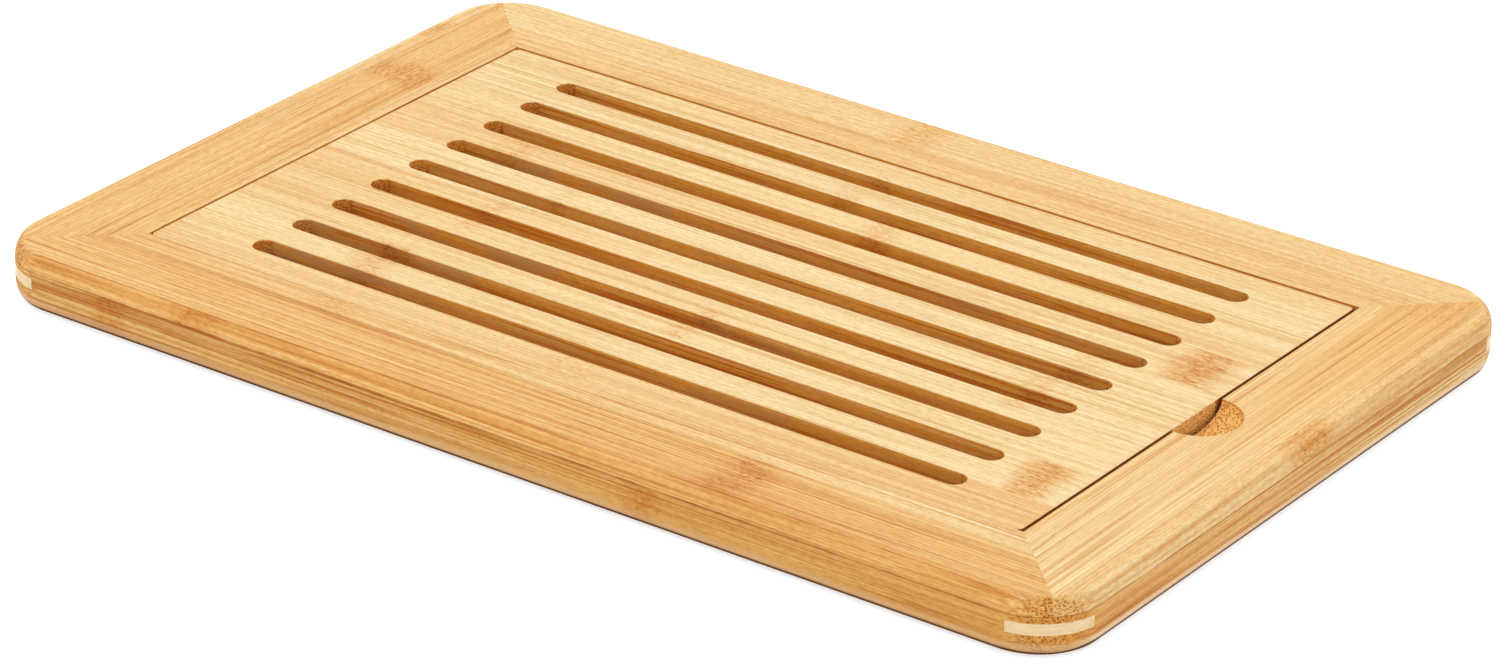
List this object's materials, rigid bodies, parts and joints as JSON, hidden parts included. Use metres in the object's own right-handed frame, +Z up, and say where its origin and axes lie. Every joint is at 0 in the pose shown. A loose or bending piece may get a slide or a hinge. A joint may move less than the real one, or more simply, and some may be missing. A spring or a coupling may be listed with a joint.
{
  "type": "bread board with crumb catcher",
  "caption": "Bamboo bread board: a mitred two-ply frame with rounded corners round a crumb floor, a lift-out grille with long slots, and a thumb scoop beside it.",
  "frame": {"origin": "middle of the underside, on the surface that the board stands on", "axes": "+X along the long side towards the thumb scoop, +Y towards the back long side, +Z up"},
  "size_m": [0.42, 0.277, 0.02],
  "materials": {
    "frame_bamboo": "satin, lightly oiled, warm yellow bamboo with fine grain along each rail",
    "lower_bamboo": "satin, lightly oiled, browner bamboo",
    "grille_bamboo": "satin, pale natural bamboo with brown slot walls",
    "floor_bamboo": "satin, plain bamboo sheet",
    "spline_bamboo": "satin, pale bamboo"
  },
  "bodies": {
    "frame": {"front_rail_upper_strip_1": "frame_bamboo", "front_rail_upper_strip_2": "frame_bamboo", "front_rail_upper_strip_3": "frame_bamboo", "right_rail_upper_strip_1": "frame_bamboo", "right_rail_upper_strip_2": "frame_bamboo", "right_rail_upper_strip_3": "frame_bamboo", "back_rail_upper_strip_1": "frame_bamboo", "back_rail_upper_strip_2": "frame_bamboo", "left_rail_upper_strip_1": "frame_bamboo", "left_rail_upper_strip_2": "frame_bamboo", "left_rail_upper_strip_3": "frame_bamboo", "front_rail_lower": "lower_bamboo", "right_rail_lower": "lower_bamboo", "back_rail_lower": "lower_bamboo", "left_rail_lower": "lower_bamboo", "front_right_corner_spline": "spline_bamboo", "back_right_corner_spline": "spline_bamboo", "back_left_corner_spline": "spline_bamboo", "front_left_corner_spline": "spline_bamboo", "crumb_floor": "floor_bamboo"},
    "grille": {"grille_stave_01": "grille_bamboo", "grille_stave_02": "grille_bamboo", "grille_stave_03": "grille_bamboo", "grille_stave_04": "grille_bamboo", "grille_stave_05": "grille_bamboo", "grille_stave_06": "grille_bamboo", "grille_stave_07": "grille_bamboo", "grille_stave_08": "grille_bamboo", "grille_stave_09": "grille_bamboo"}
  },
  "joints": [
    {"name": "grille_lift", "type": "slide", "parent": "frame", "child": "grille", "axis": [0, 0, 1], "range_m": [0, 0.06]}
  ]
}
